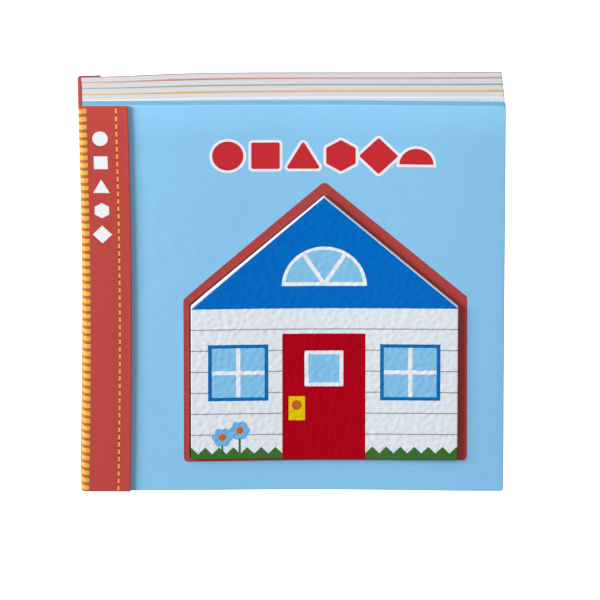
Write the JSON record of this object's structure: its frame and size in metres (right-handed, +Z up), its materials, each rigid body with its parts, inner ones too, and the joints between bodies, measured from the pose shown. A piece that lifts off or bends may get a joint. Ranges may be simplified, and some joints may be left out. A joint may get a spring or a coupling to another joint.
{
  "type": "soft book",
  "caption": "Soft foam picture book with a red wrapped spine, hinged covers and a house-shaped puzzle piece set in a cut-out of the front cover.",
  "frame": {"origin": "middle of the bottom edge of the pages, on the surface that the book stands on", "axes": "+X from the spine to the fore-edge, +Y from the front cover to the back cover, +Z up"},
  "size_m": [0.1551, 0.036, 0.152],
  "materials": {
    "wrap_red": "matte red sheet printed with yellow stitches",
    "cover_blue": "matte pale blue closed-cell foam, coloured through",
    "house_foam": "white foam with a finely embossed printed face",
    "leaf_foam": "matte white closed-cell foam with printed faces",
    "back_plum": "white foam leaf with a matte plum print on its outer face"
  },
  "bodies": {
    "spine": {"spine_wrap": "wrap_red", "page_block": "leaf_foam"},
    "front": {"front_cover": "cover_blue", "house_piece": "house_foam", "front_strip": "wrap_red"},
    "back": {"back_cover": "back_plum", "back_strip": "wrap_red"}
  },
  "joints": [
    {"name": "front_hinge", "type": "hinge", "parent": "spine", "child": "front", "pos_m": [-0.0758, -0.0161, 0], "axis": [0, 0, -1], "range_deg": [-1.55, 168]},
    {"name": "back_hinge", "type": "hinge", "parent": "spine", "child": "back", "pos_m": [-0.0758, 0.0158, 0], "axis": [0, 0, 1], "range_deg": [-0.2, 169.6]}
  ]
}
